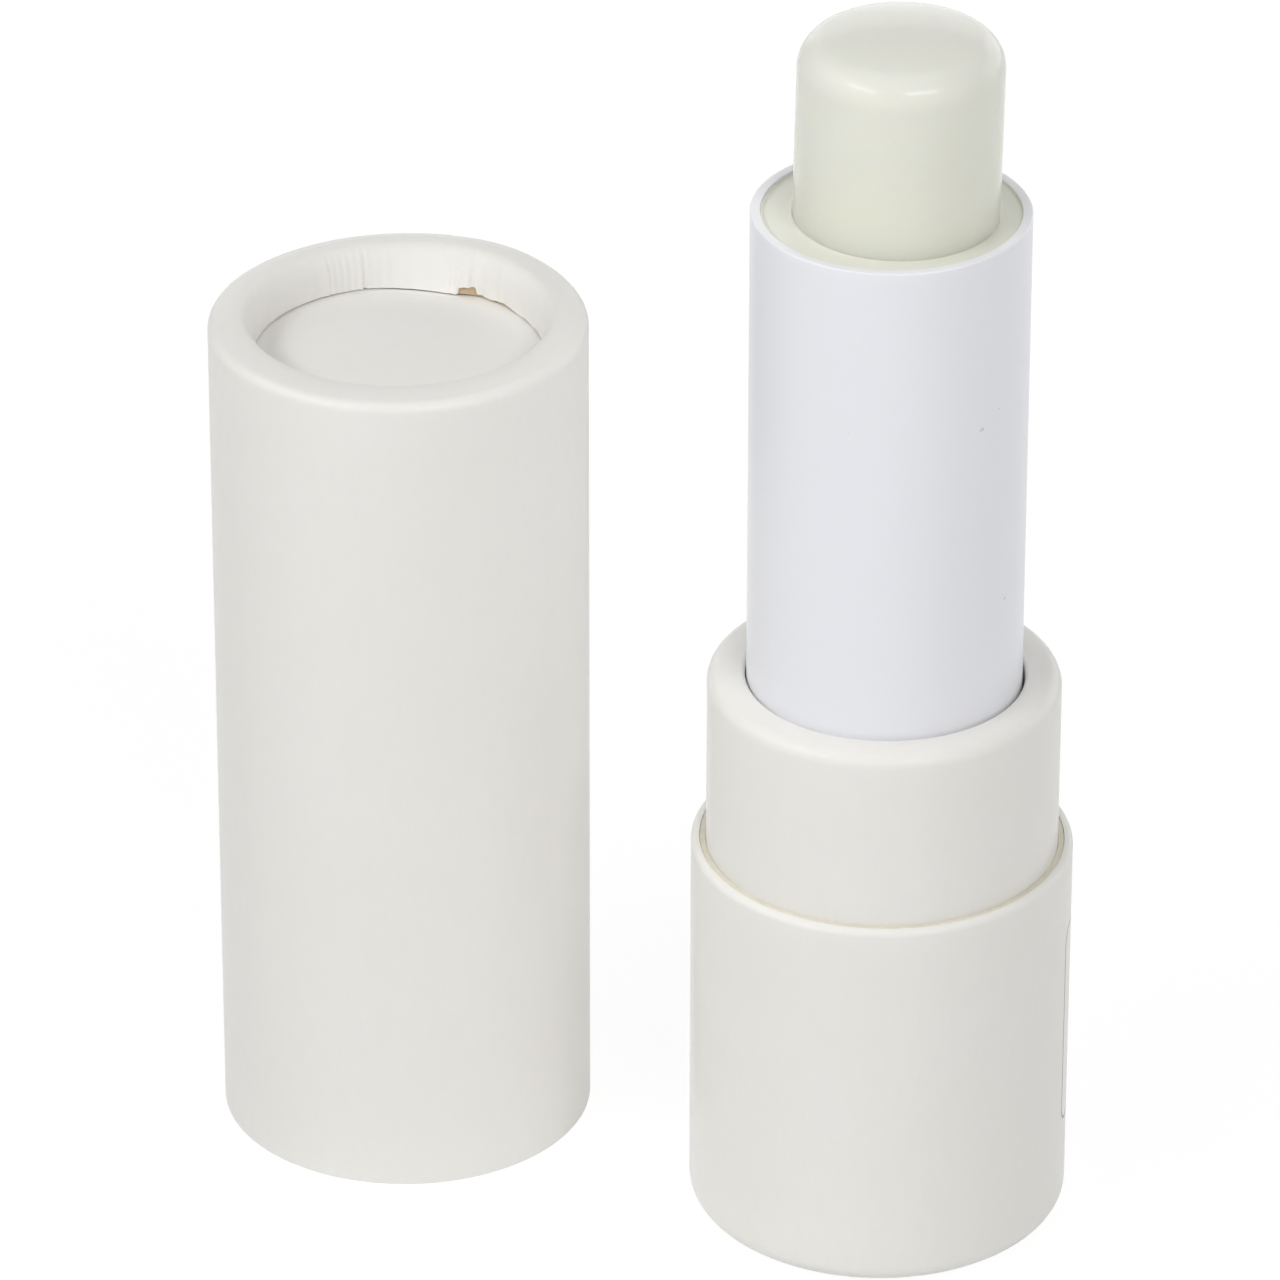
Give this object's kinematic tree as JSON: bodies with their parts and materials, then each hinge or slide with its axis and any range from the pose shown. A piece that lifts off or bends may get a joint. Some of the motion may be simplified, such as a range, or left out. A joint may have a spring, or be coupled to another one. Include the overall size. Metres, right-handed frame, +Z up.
{
  "type": "lip balm stick",
  "caption": "Twist-up lip balm in white rolled-edge paper tubes: base and neck, plastic barrel with a spiral mechanism, raised pale green balm, and the cap standing beside it.",
  "frame": {"origin": "on the floor, at the middle of the rectangle round the stick and the cap that stands beside it", "axes": "+Z up, along both tubes; -Y towards the picture's camera; +X to its right, where the stick stands"},
  "size_m": [0.0462, 0.0306, 0.07],
  "materials": {
    "cover_paper": "satin",
    "tan_board": "matte",
    "ivory_board": "matte",
    "disc_board": "satin",
    "barrel_plastic": "satin",
    "white_plastic": "satin",
    "natural_plastic": "satin",
    "soft_rubber": "matte",
    "balm": "satin"
  },
  "bodies": {
    "base": {"base_wrap": "cover_paper", "base_tube": "ivory_board", "base_disc": "disc_board", "neck_wrap": "cover_paper", "neck_tube": "ivory_board", "mechanism_socket": "white_plastic", "slotted_tube": "natural_plastic", "friction_ring": "soft_rubber"},
    "barrel": {"barrel_shell": "barrel_plastic", "spiral_sleeve": "natural_plastic"},
    "carrier": {"balm_cup": "natural_plastic", "balm": "balm"},
    "cap": {"cap_wrap": "cover_paper", "cap_tube": "tan_board", "cap_disc": "disc_board"}
  },
  "joints": [
    {"name": "barrel_twist", "type": "hinge", "parent": "base", "child": "barrel", "pos_m": [0.01286, -0.005, 0], "axis": [0, 0, -1], "range_deg": [-374, 511]},
    {"name": "carrier_slide", "type": "slide", "parent": "base", "child": "carrier", "axis": [0, 0, 1], "range_m": [-0.01144, 0.01563]},
    {"name": "cap_lift", "type": "slide", "parent": "base", "child": "cap", "axis": [0, 0, 1], "range_m": [0, 0.09]}
  ],
  "couplings": [
    {"joint": "carrier_slide", "follows": "barrel_twist", "m_per_rad": 0.0017507}
  ]
}
